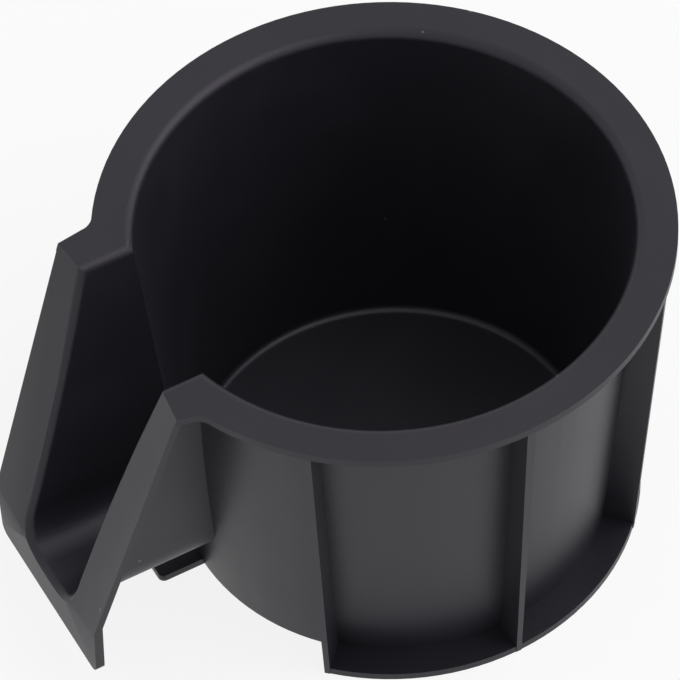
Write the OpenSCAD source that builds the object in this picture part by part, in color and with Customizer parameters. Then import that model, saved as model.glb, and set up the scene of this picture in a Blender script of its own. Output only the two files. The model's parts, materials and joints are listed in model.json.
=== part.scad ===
// Insert cup for a car console: a drafted cup with a flat rim, a side chute for a mug handle,
// stiffening ribs and a part-round foot flange, all moulded as one piece of black plastic.
// The origin is on the cup's axis at the underside of its base. +Z is up and the chute opens to -Y.

/* [Cup] */
// Overall height, from the base to the top of the rim
cup_h = 71.5; // [60:0.5:90]
// Inside diameter of the wall at the rim
mouth_d = 85.6; // [80:0.2:89]
// Thickness of the cup wall
wall_t = 1.9; // [1.4:0.1:2.6]
// Thickness of the floor
floor_t = 1.9; // [1.4:0.1:3]
// Lean of the cup wall from upright, in degrees
cup_draft = 5.1; // [3:0.1:6]
// Fillet where the wall meets the floor
floor_fillet = 1.5; // [0.5:0.1:4]
// Rounding of the outer edge of the base
base_edge_r = 0.9; // [0.3:0.1:1.5]

/* [Rim] */
// Outside diameter of the rim
rim_d = 100; // [99:0.5:110]
// Thickness of the rim plate
rim_t = 1.6; // [1.2:0.1:2.5]
// Rounding of the inner edge of the rim
lip_r = 1.8; // [0.8:0.1:2.4]
// Hollow fillet in the outline where the rim turns into the chute
neck_r = 3.3; // [1:0.1:6]
// Widening of the chute's top, on each side, on its way back to the rim
neck_flare = 0.7; // [0:0.1:1.5]

/* [Chute] */
// Sideways place of the chute's middle from the cup's axis
chute_offset = -2.6; // [-4:0.1:4]
// Inside width of the chute at the rim
chute_w = 29; // [26:0.2:30]
// Depth of the chute floor below the top of the rim
chute_depth = 58.4; // [50:0.2:59]
// Lean of the chute's side walls from upright at the rim, in degrees
chute_draft = 9.6; // [7:0.1:10]
// Lean of the chute's side walls from upright at the floor, in degrees
chute_low_draft = 2.3; // [1:0.1:4]
// Thickness of the chute's walls and floor
chute_t = 1.5; // [1.3:0.1:2.4]
// Height of the round bottom of the chute, up to its straighter walls
chute_round_h = 8.4; // [6:0.2:12]
// Fullness of the round bottom, where 2 is a true round and more is flatter
chute_fullness = 2.8; // [2:0.1:3.2]

/* [Front flange] */
// Reach of the flange from the cup's axis, at the rim
flange_reach = 49.1; // [49:0.1:54]
// Width over the flange at the rim
flange_w = 43.2; // [42:0.2:46]
// Lean of the flange's outer edges from upright, in degrees
flange_draft = 3.2; // [1:0.1:4]
// Lean of the flange's face from upright, in degrees
flange_slant = 17.6; // [14:0.2:20]
// Forward turn of each side band about its inner edge, in degrees
flange_dish = 6.5; // [2:0.5:10]
// Thickness of the flange
flange_t = 1.4; // [1.2:0.1:2]
// Rounding of the flange's inner edge
flange_lip_r = 1.6; // [0.8:0.1:1.8]
// How much further the upright apron reaches than the flange at the rim
apron_step = 18.1; // [17:0.1:20]
// Thickness of the apron
apron_t = 1.7; // [1.2:0.1:2.2]
// Height of the apron's lower edge above the base
apron_z = 5.4; // [4:0.1:8]
// Rounding of the apron's lower corners
apron_corner_r = 2; // [0.5:0.1:3]

/* [Ribs and foot] */
// Angle of the first rib from the chute's direction
rib_first = 46; // [42:0.5:50]
// Angle from one rib to the next
rib_pitch = 45; // [42:0.1:48]
// Ribs on each side, apart from the one at the back
ribs_a_side = 3; // [1:1:3]
// Overhang of the rim past the ribs' outer edges
rim_overhang = 0.3; // [0.1:0.1:1]
// Lean of the ribs' outer edges from upright, in degrees
rib_draft = 4.5; // [3:0.1:6]
// Thickness of a rib at the rim
rib_top_t = 1.6; // [1.2:0.1:2.4]
// Thickness of a rib at the base
rib_foot_t = 1; // [0.8:0.1:1.2]
// Set-back of the foot flange's edge from the ribs' outer edges
foot_set_back = 0.1; // [0.05:0.05:1]
// Thickness of the foot flange and of the tab
foot_t = 1.5; // [1.2:0.1:2.5]

/* [Tab] */
// Reach of the tab from the cup's axis
tab_reach = 46.8; // [44:0.2:52]
// Width of the tab
tab_w = 5.4; // [4:0.2:10]
// Rounding of the tab's corners
tab_corner_r = 1.2; // [0.5:0.1:1.9]

/* [Hidden] */
$fn = 180;
arc_steps = 10;
cut = 1;
far = 200;
mouth_r = mouth_d / 2;
rim_r = rim_d / 2;
rib_top_r = rim_r - rim_overhang;
half_chute = chute_w / 2;
chute_z = cup_h - chute_depth;
apron_reach = flange_reach + apron_step;
dish_slope = tan(flange_dish);
band_inner_slope = (tan(chute_draft) + tan(chute_low_draft)) / 2;
band_slope = tan(flange_slant) + dish_slope * band_inner_slope;
wall_steps = 8;
round_steps = 12;
lip_steps = 5;
run_in = 1.3;
middle_overlap = 0.2;
chute_skip = 0.05;
neck_bite = 0.05;

// Points of an arc about a centre, from one angle to another
function arc(centre, r, from, to) =
    [for (i = [0 : arc_steps]) centre + r * [cos(from + (to - from) * i / arc_steps),
                                              sin(from + (to - from) * i / arc_steps)]];

// The same points on the other side of the upright axis, in reverse order
function mirrored(points) = [for (i = [len(points) - 1 : -1 : 0]) [-points[i][0], points[i][1]]];

// Radius of the cup's inner wall at a height
function cup_r(z) = mouth_r - (cup_h - z) * tan(cup_draft);

// Half the inside width of the chute at a height, where the wall's lean eases towards the floor
function chute_x(z) =
    half_chute - (cup_h - z) * tan(chute_draft)
    + pow(cup_h - z, 2) * (tan(chute_draft) - tan(chute_low_draft)) / (2 * chute_depth);

// Right half of the chute's round bottom and wall, grown by an amount, up to a height
function chute_points(grow, top_z) =
    let (floor_z = chute_z - grow,
         rise = chute_round_h + grow,
         round_top = floor_z + rise,
         half = chute_x(round_top) + grow)
    concat(
        [for (i = [1 : round_steps])
            let (t = 90 * i / round_steps)
                [half * pow(sin(t), 2 / chute_fullness),
                 round_top - rise * pow(cos(t), 2 / chute_fullness)]],
        [for (i = [1 : wall_steps])
            let (z = round_top + (top_z - round_top) * i / wall_steps)
                [chute_x(z) + grow, z]]);

// Half the width over the flange at a height
function flange_x(z) = flange_w / 2 - (cup_h - z) * tan(flange_draft);

// Radius of the ribs' outer edges at a height
function rib_r(z) = rib_top_r - (cup_h - z) * tan(rib_draft);

// Right half of a rounded lip between a leaning wall and the rim's top
function lip_points(wall_x, lean) =
    arc([wall_x + lip_r / cos(lean), cup_h - lip_r], lip_r, 180 - lean, 90);

// Right half of a fillet between a leaning wall and a level floor
function fillet_points(wall_x, lean, floor_z, r) =
    arc([wall_x - r / cos(lean), floor_z + r], r, -90, -lean);

// Outside of the cup: wall and base, turned about the axis
module cup_outside() {
    edge_x = cup_r(base_edge_r) + wall_t;
    rotate_extrude()
        polygon(concat(
            [[0, 0]],
            fillet_points(edge_x, cup_draft, 0, base_edge_r),
            [[cup_r(cup_h - rim_t / 2) + wall_t, cup_h - rim_t / 2], [0, cup_h - rim_t / 2]]));
}

// Space inside the cup, with the floor fillet and the rounded lip
module cup_space() {
    lip_wall_x = cup_r(cup_h - lip_r);
    rotate_extrude()
        polygon(concat(
            [[0, floor_t]],
            fillet_points(cup_r(floor_t + floor_fillet), cup_draft, floor_t, floor_fillet),
            lip_points(lip_wall_x, cup_draft),
            [[lip_wall_x + lip_r / cos(cup_draft), cup_h + cut], [0, cup_h + cut]]));
}

// Cross-section of the chute's space seen from the front, grown all round by an amount
module chute_section(grow) {
    side = chute_points(grow, cup_h);
    translate([chute_offset, 0])
        polygon(concat(side, mirrored(side)));
}

// Cross-section of the chute's space with the rounded lip at the rim
module lipped_chute_section() {
    lip_wall_x = chute_x(cup_h - lip_r);
    side = concat(
        chute_points(0, cup_h - lip_r - chute_skip),
        lip_points(lip_wall_x, chute_draft),
        [[lip_wall_x + lip_r / cos(chute_draft), cup_h + cut]]);
    translate([chute_offset, 0])
        polygon(concat(side, mirrored(side)));
}

// Turns a front view, drawn as X and Z, into a bar that runs towards the chute's mouth
module run_forward(reach) {
    rotate([90, 0, 0])
        linear_extrude(reach)
            children();
}

// Outline of the flange and apron seen from the front, cut into a middle and two side bands
module flange_outline() {
    corner_z = apron_z + apron_corner_r;
    corner_x = flange_x(corner_z) - apron_corner_r / cos(flange_draft);
    side = concat(
        arc([corner_x, corner_z], apron_corner_r, -90, -flange_draft),
        [[flange_x(cup_h), cup_h]]);
    translate([chute_offset, 0])
        polygon(concat(side, mirrored(side)));
}

// Seen from the front, one side band's share of the outline
module band_share(side) {
    inner_low = half_chute - cup_h * band_inner_slope;
    translate([chute_offset, 0])
        polygon([[side * inner_low, 0], [side * half_chute, cup_h],
                 [side * far, cup_h], [side * far, 0]]);
}

// Seen from the front, the middle's share of the outline
module middle_share() {
    low = half_chute - cup_h * band_inner_slope + middle_overlap;
    top = half_chute + middle_overlap;
    translate([chute_offset, 0])
        polygon([[-low, 0], [low, 0], [top, cup_h], [-top, cup_h]]);
}

// Slab behind the flange's face. side is -1 or 1 for a dished side band and 0 for the middle.
module face_slab(side, t, back = 0) {
    turn = side * flange_dish;
    lean = side == 0 ? flange_slant : atan(band_slope * cos(flange_dish));
    translate([chute_offset + side * half_chute, -flange_reach, cup_h])
        rotate([-lean, 0, -turn])
            translate([-far / 2, back, -far / 2])
                cube([far, t, far]);
}

// All that lies behind the flange's front face, to a thickness
module behind_face(t) {
    for (side = [-1, 1])
        intersection() {
            run_forward(apron_reach)
                intersection() {
                    flange_outline();
                    band_share(side);
                }
            face_slab(side, t);
        }
    intersection() {
        run_forward(apron_reach)
            intersection() {
                flange_outline();
                middle_share();
            }
        face_slab(0, t);
    }
}

// The slanted bands on both sides of the chute and the upright apron below it
module front_flange() {
    behind_face(flange_t);
    intersection() {
        behind_face(far);
        translate([-far / 2, -apron_reach, 0])
            cube([far, apron_t, cup_h]);
    }
}

// Side walls and floor of the chute
module chute_walls() {
    intersection() {
        behind_face(far);
        run_forward(apron_reach)
            chute_section(chute_t);
    }
}

// One ring of points around the chute's opening: the section grown by an amount, at a depth
// behind the flange's slanted face or the upright apron
function lip_ring(grow, depth) =
    let (side = concat(chute_points(grow, cup_h), [[chute_x(cup_h) + grow, cup_h + cut]]),
         ring = concat(side, mirrored(side)))
    [for (p = ring)
        [chute_offset + p[0],
         depth - min(flange_reach + (cup_h - p[1]) * tan(flange_slant), apron_reach),
         p[1]]];

// Growth and depth of the rounding at an angle, from the flange's face to the chute's wall
function lip_step(a) = flange_lip_r * [1 - sin(a), 1 - dish_slope - cos(a)];

// Space that rounds off the flange's inner edge, lofted through rings of points
module flange_lip() {
    turn = (90 + flange_dish) / lip_steps;
    steps = concat(
        [lip_step(-flange_dish) - [0, 2 * cut]],
        [for (i = [0 : lip_steps - 1]) lip_step(i * turn - flange_dish)],
        [lip_step(90) + (lip_step(90) - lip_step(90 - turn)) * run_in]);
    rings = [for (p = steps) lip_ring(p[0], p[1])];
    n = len(rings[0]);
    last = (len(rings) - 1) * n;
    polyhedron(
        points = [for (ring = rings) for (p = ring) p],
        faces = concat(
            [for (k = [0 : len(rings) - 2]) for (j = [0 : n - 1])
                [k * n + j, k * n + (j + 1) % n, (k + 1) * n + j]],
            [for (k = [0 : len(rings) - 2]) for (j = [0 : n - 1])
                [k * n + (j + 1) % n, (k + 1) * n + (j + 1) % n, (k + 1) * n + j]],
            [for (j = [0 : n / 2 - 2]) [j, n - 1 - j, n - 2 - j, j + 1]],
            [for (j = [0 : n / 2 - 2]) [last + j, last + j + 1, last + n - 2 - j, last + n - 1 - j]]));
}

// Space inside the chute, open to the cup behind and through the flange in front
module chute_space() {
    run_forward(apron_reach + cut)
        lipped_chute_section();
    flange_lip();
}

// Plan of the rim beside one side of the chute, with the hollow fillet to the round rim
module neck_plan(side) {
    front_x = chute_offset + side * flange_w / 2;
    edge_x = front_x + side * neck_flare;
    centre_x = edge_x + side * neck_r;
    reach = rim_r + neck_r - neck_bite;
    centre_y = -sqrt(pow(reach, 2) - pow(centre_x, 2));
    touch = [centre_x, centre_y] * rim_r / reach;
    inner_x = chute_offset + side * half_chute / 2;
    front_y = -flange_reach - rim_t;
    difference() {
        polygon([[inner_x, front_y], [front_x, front_y], [edge_x, centre_y], [centre_x, centre_y],
                 touch, touch * mouth_r / rim_r, [inner_x, -mouth_r]]);
        translate([centre_x, centre_y])
            circle(neck_r);
    }
}

// Flat rim plate around the cup and both sides of the chute
module rim_plate() {
    translate([0, 0, cup_h - rim_t])
        cylinder(h = rim_t, r = rim_r);
    for (side = [-1, 1])
        intersection() {
            translate([0, 0, cup_h - rim_t])
                linear_extrude(rim_t)
                    neck_plan(side);
            face_slab(side, far);
        }
}

// A rib from the cup wall to its outer edge, thinner towards the base, standing towards -Y
module rib() {
    top_z = cup_h - rim_t / 2;
    root = wall_t / 2;
    intersection() {
        rotate([90, 0, 90])
            linear_extrude(rib_top_t, center = true)
                polygon([[-cup_r(0) - root, 0], [-rib_r(0), 0], [-rib_r(top_z), top_z],
                         [-cup_r(top_z) - root, top_z]]);
        run_forward(rim_r)
            polygon([[-rib_foot_t / 2, 0], [rib_foot_t / 2, 0], [rib_top_t / 2, cup_h],
                     [-rib_top_t / 2, cup_h]]);
    }
}

// Ribs on both sides of the chute and one at the back
module ribs() {
    for (side = [-1, 1])
        for (i = [0 : ribs_a_side - 1])
            rotate(side * (rib_first + i * rib_pitch))
                rib();
    rotate(180)
        rib();
}

// Foot flange round the back, from the first rib on one side to the first on the other
module foot_flange() {
    gap = [far * sin(rib_first), -far * cos(rib_first)];
    difference() {
        cylinder(h = foot_t, r = rib_r(0) - foot_set_back);
        translate([0, 0, -cut])
            linear_extrude(foot_t + 2 * cut)
                polygon([[0, 0], [-gap[0], gap[1]], gap]);
    }
}

// Small tab under the chute, level with the foot flange
module tab() {
    corner = tab_w / 2 - tab_corner_r;
    translate([chute_offset, 0, 0])
        linear_extrude(foot_t) {
            translate([-tab_w / 2, tab_corner_r - tab_reach])
                square([tab_w, tab_reach - tab_corner_r]);
            translate([-corner, -tab_reach])
                square([2 * corner, tab_corner_r]);
            for (side = [-1, 1])
                translate([side * corner, tab_corner_r - tab_reach])
                    circle(tab_corner_r);
        }
}

// The whole moulding
module holder() {
    color([0.09, 0.09, 0.1])
        difference() {
            union() {
                cup_outside();
                rim_plate();
                chute_walls();
                front_flange();
                ribs();
                foot_flange();
                tab();
            }
            cup_space();
            chute_space();
        }
}

holder();
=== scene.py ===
"""Car console insert cup with a handle chute: the moulding, its plastic, the stage and camera."""

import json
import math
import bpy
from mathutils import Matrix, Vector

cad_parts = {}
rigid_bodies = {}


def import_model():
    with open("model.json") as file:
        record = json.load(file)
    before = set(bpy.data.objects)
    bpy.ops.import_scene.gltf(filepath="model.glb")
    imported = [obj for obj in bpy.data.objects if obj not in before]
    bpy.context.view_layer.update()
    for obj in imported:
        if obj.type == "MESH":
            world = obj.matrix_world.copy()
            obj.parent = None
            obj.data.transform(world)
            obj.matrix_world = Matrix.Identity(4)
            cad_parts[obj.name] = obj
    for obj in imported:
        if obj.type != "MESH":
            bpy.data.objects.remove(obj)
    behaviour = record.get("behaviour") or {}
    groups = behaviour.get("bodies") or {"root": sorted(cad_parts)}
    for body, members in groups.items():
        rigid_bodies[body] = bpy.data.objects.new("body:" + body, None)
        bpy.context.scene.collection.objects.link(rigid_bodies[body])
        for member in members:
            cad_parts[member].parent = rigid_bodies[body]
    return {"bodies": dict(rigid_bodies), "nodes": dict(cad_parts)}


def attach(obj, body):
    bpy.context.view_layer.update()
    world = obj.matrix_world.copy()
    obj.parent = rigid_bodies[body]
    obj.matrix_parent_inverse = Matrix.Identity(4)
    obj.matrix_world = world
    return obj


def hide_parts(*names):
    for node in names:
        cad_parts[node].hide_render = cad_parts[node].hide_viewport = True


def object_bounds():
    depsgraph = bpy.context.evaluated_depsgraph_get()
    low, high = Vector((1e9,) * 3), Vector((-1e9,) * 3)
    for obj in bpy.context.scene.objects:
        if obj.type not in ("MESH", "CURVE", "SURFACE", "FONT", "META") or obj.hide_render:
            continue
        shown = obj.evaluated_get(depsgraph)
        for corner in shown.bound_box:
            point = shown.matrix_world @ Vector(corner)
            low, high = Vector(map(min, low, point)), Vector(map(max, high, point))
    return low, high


bl_info = {
    "name": "Console Insert Cup",
    "version": (1, 0, 0),
    "blender": (4, 5, 0),
    "location": "View3D > Sidebar > Insert Cup",
    "description": "Finishes the moulded insert cup and sets it on a pale studio floor",
    "category": "Object",
}

import bpy
from bpy.props import FloatProperty, FloatVectorProperty, IntProperty, PointerProperty
from mathutils import Matrix, Vector

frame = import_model()
CAD_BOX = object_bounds()
BODY = next(iter(frame["bodies"]))
HOLDER_NODE = "holder"

# Finish of the mesh
MERGE_GAP = 0.000002
FLAT_ANGLE = math.radians(0.6)
SMOOTH_ANGLE = math.radians(40)
AREA_WEIGHT = 60

# Look of the plastic
PLASTIC_IOR = 1.5
ROUGHNESS_BELOW = 0.03
ROUGHNESS_ABOVE = 0.05
HAZE_SCALE = 38
HAZE_FROM = 0.42
HAZE_TO = 0.72
SPECK_SCALE = 260
SPECK_SIZE = 0.09
SPECK_SHARE = 0.03
DUST_COLOUR = (0.1, 0.1, 0.104)

WHITE = (1, 1, 1, 1)
MIX_COLOUR_A = 6
MIX_COLOUR_B = 7
MIX_COLOUR_RESULT = 2

# Camera
SENSOR_WIDTH = 36
CAMERA_REACH = 20


# Settings


class MouldingSettings(bpy.types.PropertyGroup):
    """Sizes and finish of the moulding"""

    edge_radius: FloatProperty(
        name="Edge radius",
        description="Rounding that the mould leaves on every crisp edge",
        default=0.00028,
        min=0.0001,
        max=0.0005,
        precision=5,
        unit="LENGTH",
    )
    edge_segments: IntProperty(
        name="Edge segments",
        description="Faces across each rounded edge",
        default=2,
        min=1,
        max=4,
    )
    crisp_angle: FloatProperty(
        name="Crisp angle",
        description="Edges that turn by more than this angle are rounded",
        default=math.radians(35),
        subtype="ANGLE",
    )
    plastic_colour: FloatVectorProperty(
        name="Plastic colour",
        description="Colour of the black plastic",
        subtype="COLOR",
        size=3,
        min=0,
        max=1,
        default=(0.0132, 0.0124, 0.0165),
    )
    worn_colour: FloatVectorProperty(
        name="Hazed colour",
        description="Slightly greyer colour where the surface is hazed",
        subtype="COLOR",
        size=3,
        min=0,
        max=1,
        default=(0.0175, 0.0166, 0.0215),
    )
    roughness: FloatProperty(
        name="Roughness",
        description="Gloss of the satin plastic, where 0 is a mirror",
        default=0.44,
        min=0,
        max=1,
        subtype="FACTOR",
    )
    sheen_level: FloatProperty(
        name="Sheen level",
        description="Strength of the plastic's reflection, where 0.5 is a plain glossy plastic's",
        default=0.36,
        min=0,
        max=1,
        subtype="FACTOR",
    )
    sheen_tint: FloatVectorProperty(
        name="Sheen tint",
        description="Faint cool tint of the plastic's reflection",
        subtype="COLOR",
        size=3,
        min=0,
        max=1,
        default=(0.93, 0.89, 1.0),
    )
    grain_size: FloatProperty(
        name="Grain size",
        description="Width of the fine grain that the mould's surface leaves",
        default=0.0004,
        min=0.0001,
        max=0.002,
        precision=5,
        unit="LENGTH",
    )
    grain_depth: FloatProperty(
        name="Grain depth",
        description="Height of the fine grain",
        default=0.000012,
        min=0,
        max=0.0001,
        precision=6,
        unit="LENGTH",
    )


class StageSettings(bpy.types.PropertyGroup):
    """Floor, light and camera"""

    floor_colour: FloatVectorProperty(
        name="Floor colour",
        description="Colour of the pale floor",
        subtype="COLOR",
        size=3,
        min=0,
        max=1,
        default=(0.9, 0.9, 0.9),
    )
    floor_size: FloatProperty(
        name="Floor size",
        description="Length of the floor's sides",
        default=6,
        min=1,
        unit="LENGTH",
    )
    floor_white: FloatProperty(
        name="Floor white share",
        description="Share of plain white that eyes and reflections see on the floor",
        default=0.86,
        min=0,
        max=1,
        subtype="FACTOR",
    )
    sky_level: FloatProperty(
        name="Sky level",
        description="Brightness of the white room around the stage",
        default=0.5,
        min=0,
    )
    key_power: FloatProperty(
        name="Key power",
        description="Power of the large soft lamp",
        default=5,
        min=0,
        unit="POWER",
    )
    key_azimuth: FloatProperty(
        name="Key azimuth",
        description="Compass direction of the large lamp from +X",
        default=math.radians(62),
        subtype="ANGLE",
    )
    key_elevation: FloatProperty(
        name="Key elevation",
        description="Height angle of the large lamp above the floor",
        default=math.radians(48),
        subtype="ANGLE",
    )
    key_size: FloatProperty(
        name="Key size",
        description="Length of the large lamp's sides",
        default=0.9,
        min=0.05,
        unit="LENGTH",
    )
    key_distance: FloatProperty(
        name="Key distance",
        description="Distance of the large lamp from the cup",
        default=0.9,
        min=0.3,
        unit="LENGTH",
    )
    camera_place: FloatVectorProperty(
        name="Camera place",
        description="Where the camera stands",
        subtype="TRANSLATION",
        size=3,
        precision=4,
        default=(0.66240, -0.33790, 1.00075),
    )
    camera_heading: FloatProperty(
        name="Camera heading",
        description="Turn of the camera about the vertical axis",
        default=math.radians(63.62),
        subtype="ANGLE",
    )
    camera_elevation: FloatProperty(
        name="Camera elevation",
        description="Angle at which the camera looks down on the cup",
        default=0.911931,
        subtype="ANGLE",
    )
    camera_roll: FloatProperty(
        name="Camera roll",
        description="Turn of the camera about its own line of sight",
        default=-0.047441,
        subtype="ANGLE",
    )
    camera_focal_pixels: FloatProperty(
        name="Focal length in pixels",
        description="Focal length in units of one picture pixel",
        default=7000,
        min=100,
    )
    picture_pixels: IntProperty(
        name="Picture pixels",
        description="Width and height of the square picture in pixels",
        default=680,
        min=1,
    )


# Helpers


def deselect_all():
    """Leaves object mode with nothing selected."""
    if bpy.context.object and bpy.context.object.mode != "OBJECT":
        bpy.ops.object.mode_set(mode="OBJECT")
    bpy.ops.object.select_all(action="DESELECT")


def make_active(obj):
    """Selects only this object."""
    deselect_all()
    obj.select_set(True)
    bpy.context.view_layer.objects.active = obj


def clean_mesh():
    """Joins doubled points of the active object and turns its flat patches into single faces."""
    bpy.ops.object.mode_set(mode="EDIT")
    bpy.ops.mesh.select_all(action="SELECT")
    bpy.ops.mesh.remove_doubles(threshold=MERGE_GAP)
    bpy.ops.mesh.dissolve_limited(angle_limit=FLAT_ANGLE)
    bpy.ops.object.mode_set(mode="OBJECT")


def node(tree, kind, place, **values):
    """Adds a shader node and sets its properties and its input values by name."""
    made = tree.nodes.new(kind)
    made.location = place
    for key, value in values.items():
        if key in made.inputs:
            made.inputs[key].default_value = value
        else:
            setattr(made, key, value)
    return made


def opaque(colour):
    """A colour with full alpha."""
    return (colour[0], colour[1], colour[2], 1)


def first_seen(tree, place):
    """Adds nodes that give 1 to the camera's rays, to reflections and to see-through rays."""
    x, y = place
    rays = node(tree, "ShaderNodeLightPath", (x, y))
    mirrored = node(tree, "ShaderNodeMath", (x + 200, y), operation="MAXIMUM")
    through = node(tree, "ShaderNodeMath", (x + 400, y), operation="MAXIMUM")
    link = tree.links.new
    link(rays.outputs["Is Camera Ray"], mirrored.inputs[0])
    link(rays.outputs["Is Glossy Ray"], mirrored.inputs[1])
    link(mirrored.outputs[0], through.inputs[0])
    link(rays.outputs["Is Transmission Ray"], through.inputs[1])
    return through.outputs[0]


# Material


def new_group(name, inputs, outputs):
    """Makes an empty shader group whose inputs and outputs are numbers with these names."""
    group = bpy.data.node_groups.new(name, "ShaderNodeTree")
    for key in inputs:
        group.interface.new_socket(key, in_out="INPUT", socket_type="NodeSocketFloat")
    for key in outputs:
        group.interface.new_socket(key, in_out="OUTPUT", socket_type="NodeSocketFloat")
    return group


def grain_group():
    """Shader group for the fine grain of a mould's surface: a height and a change of roughness."""
    name = "Mould Grain"
    if name in bpy.data.node_groups:
        return bpy.data.node_groups[name]
    group = new_group(name, ["Scale"], ["Height", "Unevenness"])
    into = node(group, "NodeGroupInput", (-700, 0))
    out = node(group, "NodeGroupOutput", (500, 0))
    place = node(group, "ShaderNodeTexCoord", (-700, -200))
    fine = node(group, "ShaderNodeTexNoise", (-300, 100), Detail=3.0, Roughness=0.6)
    pits = node(group, "ShaderNodeTexVoronoi", (-300, -200), feature="SMOOTH_F1",
                Smoothness=0.6)
    both = node(group, "ShaderNodeMath", (100, 0), operation="ADD")
    link = group.links.new
    link(place.outputs["Object"], fine.inputs["Vector"])
    link(place.outputs["Object"], pits.inputs["Vector"])
    link(into.outputs["Scale"], fine.inputs["Scale"])
    link(into.outputs["Scale"], pits.inputs["Scale"])
    link(fine.outputs["Fac"], both.inputs[0])
    link(pits.outputs["Distance"], both.inputs[1])
    link(both.outputs[0], out.inputs["Height"])
    link(fine.outputs["Fac"], out.inputs["Unevenness"])
    return group


def haze_group():
    """Shader group for broad, faint cloudiness such as handling and flow marks leave on plastic."""
    name = "Handling Haze"
    if name in bpy.data.node_groups:
        return bpy.data.node_groups[name]
    group = new_group(name, ["Scale"], ["Mask"])
    into = node(group, "NodeGroupInput", (-700, 0))
    out = node(group, "NodeGroupOutput", (500, 0))
    place = node(group, "ShaderNodeTexCoord", (-700, -200))
    cloud = node(group, "ShaderNodeTexNoise", (-300, 0), Detail=4.0, Roughness=0.55,
                 Distortion=0.4)
    level = node(group, "ShaderNodeMapRange", (100, 0))
    level.inputs["From Min"].default_value = HAZE_FROM
    level.inputs["From Max"].default_value = HAZE_TO
    link = group.links.new
    link(place.outputs["Object"], cloud.inputs["Vector"])
    link(into.outputs["Scale"], cloud.inputs["Scale"])
    link(cloud.outputs["Fac"], level.inputs["Value"])
    link(level.outputs["Result"], out.inputs["Mask"])
    return group


def speck_group():
    """Shader group for sparse pale dust specks."""
    name = "Dust Specks"
    if name in bpy.data.node_groups:
        return bpy.data.node_groups[name]
    group = new_group(name, ["Scale", "Size", "Share"], ["Mask"])
    into = node(group, "NodeGroupInput", (-900, 0))
    out = node(group, "NodeGroupOutput", (700, 0))
    place = node(group, "ShaderNodeTexCoord", (-900, -200))
    cells = node(group, "ShaderNodeTexVoronoi", (-500, 0))
    near = node(group, "ShaderNodeMath", (-100, 100), operation="LESS_THAN")
    split = node(group, "ShaderNodeSeparateColor", (-300, -200))
    chosen = node(group, "ShaderNodeMath", (100, -200), operation="LESS_THAN")
    both = node(group, "ShaderNodeMath", (400, 0), operation="MULTIPLY")
    link = group.links.new
    link(place.outputs["Object"], cells.inputs["Vector"])
    link(into.outputs["Scale"], cells.inputs["Scale"])
    link(cells.outputs["Distance"], near.inputs[0])
    link(into.outputs["Size"], near.inputs[1])
    link(cells.outputs["Color"], split.inputs["Color"])
    link(split.outputs["Red"], chosen.inputs[0])
    link(into.outputs["Share"], chosen.inputs[1])
    link(near.outputs[0], both.inputs[0])
    link(chosen.outputs[0], both.inputs[1])
    link(both.outputs[0], out.inputs["Mask"])
    return group


def plastic_material(look):
    """Satin black moulded plastic with fine grain, faint haze and a few dust specks."""
    made = bpy.data.materials.new("Satin Black Plastic")
    made.use_nodes = True
    tree = made.node_tree
    shader = tree.nodes["Principled BSDF"]
    shader.inputs["IOR"].default_value = PLASTIC_IOR
    shader.inputs["Specular IOR Level"].default_value = look.sheen_level
    shader.inputs["Specular Tint"].default_value = opaque(look.sheen_tint)
    link = tree.links.new
    haze = node(tree, "ShaderNodeGroup", (-900, 300), node_tree=haze_group())
    haze.inputs["Scale"].default_value = HAZE_SCALE
    grain = node(tree, "ShaderNodeGroup", (-900, -100), node_tree=grain_group())
    grain.inputs["Scale"].default_value = 1 / look.grain_size
    specks = node(tree, "ShaderNodeGroup", (-900, 600), node_tree=speck_group())
    specks.inputs["Scale"].default_value = SPECK_SCALE
    specks.inputs["Size"].default_value = SPECK_SIZE
    specks.inputs["Share"].default_value = SPECK_SHARE
    hazed = node(tree, "ShaderNodeMix", (-500, 400), data_type="RGBA")
    hazed.inputs[MIX_COLOUR_A].default_value = opaque(look.plastic_colour)
    hazed.inputs[MIX_COLOUR_B].default_value = opaque(look.worn_colour)
    dusted = node(tree, "ShaderNodeMix", (-250, 400), data_type="RGBA")
    dusted.inputs[MIX_COLOUR_B].default_value = opaque(DUST_COLOUR)
    link(haze.outputs["Mask"], hazed.inputs["Factor"])
    link(specks.outputs["Mask"], dusted.inputs["Factor"])
    link(hazed.outputs[MIX_COLOUR_RESULT], dusted.inputs[MIX_COLOUR_A])
    link(dusted.outputs[MIX_COLOUR_RESULT], shader.inputs["Base Color"])
    rough = node(tree, "ShaderNodeMapRange", (-500, 100))
    rough.inputs["To Min"].default_value = look.roughness - ROUGHNESS_BELOW
    rough.inputs["To Max"].default_value = look.roughness + ROUGHNESS_ABOVE
    mixed = node(tree, "ShaderNodeMath", (-700, 100), operation="MULTIPLY")
    link(haze.outputs["Mask"], mixed.inputs[0])
    link(grain.outputs["Unevenness"], mixed.inputs[1])
    link(mixed.outputs[0], rough.inputs["Value"])
    link(rough.outputs["Result"], shader.inputs["Roughness"])
    bump = node(tree, "ShaderNodeBump", (-250, -150), Distance=look.grain_depth, Strength=1.0)
    link(grain.outputs["Height"], bump.inputs["Height"])
    link(bump.outputs["Normal"], shader.inputs["Normal"])
    return made


# Operators


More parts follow.
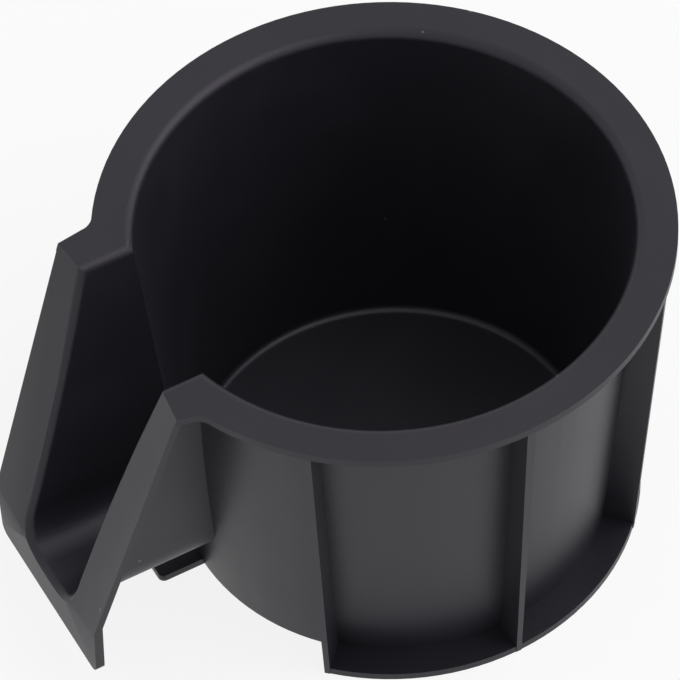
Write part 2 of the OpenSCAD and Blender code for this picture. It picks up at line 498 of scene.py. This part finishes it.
class FinishMoulding(bpy.types.Operator):
    """Makes the finished moulding from the solid, with its edges rounded as a mould leaves them"""

    bl_idname = "insert_cup.finish_moulding"
    bl_label = "Finish the moulding"

    def execute(self, context):
        look = context.scene.insert_cup_moulding
        source = frame["nodes"][HOLDER_NODE]
        make_active(source)
        bpy.ops.object.duplicate()
        piece = context.view_layer.objects.active
        piece.name = "moulded_cup"
        for key in list(piece.keys()):
            del piece[key]
        piece.parent = None
        piece.matrix_world = Matrix.Identity(4)
        make_active(piece)
        clean_mesh()
        edge = piece.modifiers.new("Mould edge", "BEVEL")
        edge.width = look.edge_radius
        edge.segments = look.edge_segments
        edge.limit_method = "ANGLE"
        edge.angle_limit = look.crisp_angle
        edge.use_clamp_overlap = True
        edge.miter_outer = "MITER_ARC"
        bpy.ops.object.modifier_apply(modifier=edge.name)
        bpy.ops.object.shade_smooth_by_angle(angle=SMOOTH_ANGLE)
        evened = piece.modifiers.new("Even shading", "WEIGHTED_NORMAL")
        evened.keep_sharp = True
        evened.weight = AREA_WEIGHT
        bpy.ops.object.modifier_apply(modifier=evened.name)
        piece.data.materials.clear()
        piece.data.materials.append(plastic_material(look))
        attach(piece, BODY)
        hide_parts(HOLDER_NODE)
        return {"FINISHED"}


class SetStage(bpy.types.Operator):
    """Lays the pale floor, lights it and places the camera"""

    bl_idname = "insert_cup.set_stage"
    bl_label = "Set the stage"

    def execute(self, context):
        stage = context.scene.insert_cup_stage
        self.lay_floor(stage)
        self.light_room(context, stage)
        self.hang_lamp(stage)
        self.place_camera(context, stage)
        context.scene.view_settings.view_transform = "Standard"
        return {"FINISHED"}

    def lay_floor(self, stage):
        """A large pale floor at the cup's base, which eyes and reflections see nearly white."""
        deselect_all()
        bpy.ops.mesh.primitive_plane_add(size=stage.floor_size, location=(0, 0, CAD_BOX[0].z))
        floor = bpy.context.object
        floor.name = "pale_floor"
        made = bpy.data.materials.new("Pale Floor")
        made.use_nodes = True
        tree = made.node_tree
        tree.nodes.clear()
        out = node(tree, "ShaderNodeOutputMaterial", (600, 0))
        lit = node(tree, "ShaderNodeBsdfDiffuse", (0, 100), Color=opaque(stage.floor_colour))
        white = node(tree, "ShaderNodeEmission", (0, -100), Color=WHITE, Strength=1.0)
        share = node(tree, "ShaderNodeMath", (0, 300), operation="MULTIPLY")
        share.inputs[1].default_value = stage.floor_white
        mix = node(tree, "ShaderNodeMixShader", (300, 0))
        link = tree.links.new
        link(first_seen(tree, (-600, 300)), share.inputs[0])
        link(share.outputs[0], mix.inputs[0])
        link(lit.outputs[0], mix.inputs[1])
        link(white.outputs[0], mix.inputs[2])
        link(mix.outputs[0], out.inputs["Surface"])
        floor.data.materials.append(made)

    def light_room(self, context, stage):
        """A plain white room, which is full white to eyes and reflections."""
        world = bpy.data.worlds.new("White Room")
        context.scene.world = world
        world.use_nodes = True
        tree = world.node_tree
        tree.nodes.clear()
        out = node(tree, "ShaderNodeOutputWorld", (600, 0))
        room = node(tree, "ShaderNodeBackground", (0, 100), Color=WHITE, Strength=stage.sky_level)
        seen = node(tree, "ShaderNodeBackground", (0, -100), Color=WHITE, Strength=1.0)
        mix = node(tree, "ShaderNodeMixShader", (300, 0))
        link = tree.links.new
        link(first_seen(tree, (-600, 300)), mix.inputs[0])
        link(room.outputs[0], mix.inputs[1])
        link(seen.outputs[0], mix.inputs[2])
        link(mix.outputs[0], out.inputs["Surface"])

    def hang_lamp(self, stage):
        """One large soft lamp beside the cup."""
        deselect_all()
        level = math.cos(stage.key_elevation)
        away = Vector((
            level * math.cos(stage.key_azimuth),
            level * math.sin(stage.key_azimuth),
            math.sin(stage.key_elevation),
        ))
        bpy.ops.object.light_add(type="AREA", location=away * stage.key_distance)
        lamp = bpy.context.object
        lamp.name = "key_lamp"
        lamp.data.energy = stage.key_power
        lamp.data.size = stage.key_size
        lamp.rotation_euler = away.to_track_quat("Z", "Y").to_euler()

    def place_camera(self, context, stage):
        """The camera stands and looks as the photograph's did."""
        deselect_all()
        bpy.ops.object.camera_add(location=stage.camera_place)
        camera = context.object
        tilt = Matrix.Rotation(math.pi / 2 - stage.camera_elevation, 3, "X")
        turn = Matrix.Rotation(stage.camera_heading, 3, "Z")
        roll = Matrix.Rotation(stage.camera_roll, 3, "Z")
        camera.rotation_euler = (turn @ tilt @ roll).to_euler()
        camera.data.sensor_width = SENSOR_WIDTH
        camera.data.lens = stage.camera_focal_pixels / stage.picture_pixels * SENSOR_WIDTH
        camera.data.clip_end = CAMERA_REACH
        context.scene.camera = camera


class InsertCupPanel(bpy.types.Panel):
    """Lists the settings and the steps"""

    bl_idname = "VIEW3D_PT_insert_cup"
    bl_label = "Insert Cup"
    bl_space_type = "VIEW_3D"
    bl_region_type = "UI"
    bl_category = "Insert Cup"

    def draw(self, context):
        layout = self.layout
        for settings in (context.scene.insert_cup_moulding, context.scene.insert_cup_stage):
            box = layout.box()
            for key in settings.__annotations__:
                box.prop(settings, key)
        layout.operator(FinishMoulding.bl_idname)
        layout.operator(SetStage.bl_idname)


CLASSES = (MouldingSettings, StageSettings, FinishMoulding, SetStage, InsertCupPanel)


def register():
    """Registers the classes and their settings."""
    for item in CLASSES:
        bpy.utils.register_class(item)
    bpy.types.Scene.insert_cup_moulding = PointerProperty(type=MouldingSettings)
    bpy.types.Scene.insert_cup_stage = PointerProperty(type=StageSettings)


def unregister():
    """Removes the settings and the classes."""
    del bpy.types.Scene.insert_cup_stage
    del bpy.types.Scene.insert_cup_moulding
    for item in reversed(CLASSES):
        bpy.utils.unregister_class(item)


def main():
    """Builds the scene."""
    register()
    bpy.ops.insert_cup.finish_moulding()
    bpy.ops.insert_cup.set_stage()


if __name__ == "__main__":
    main()
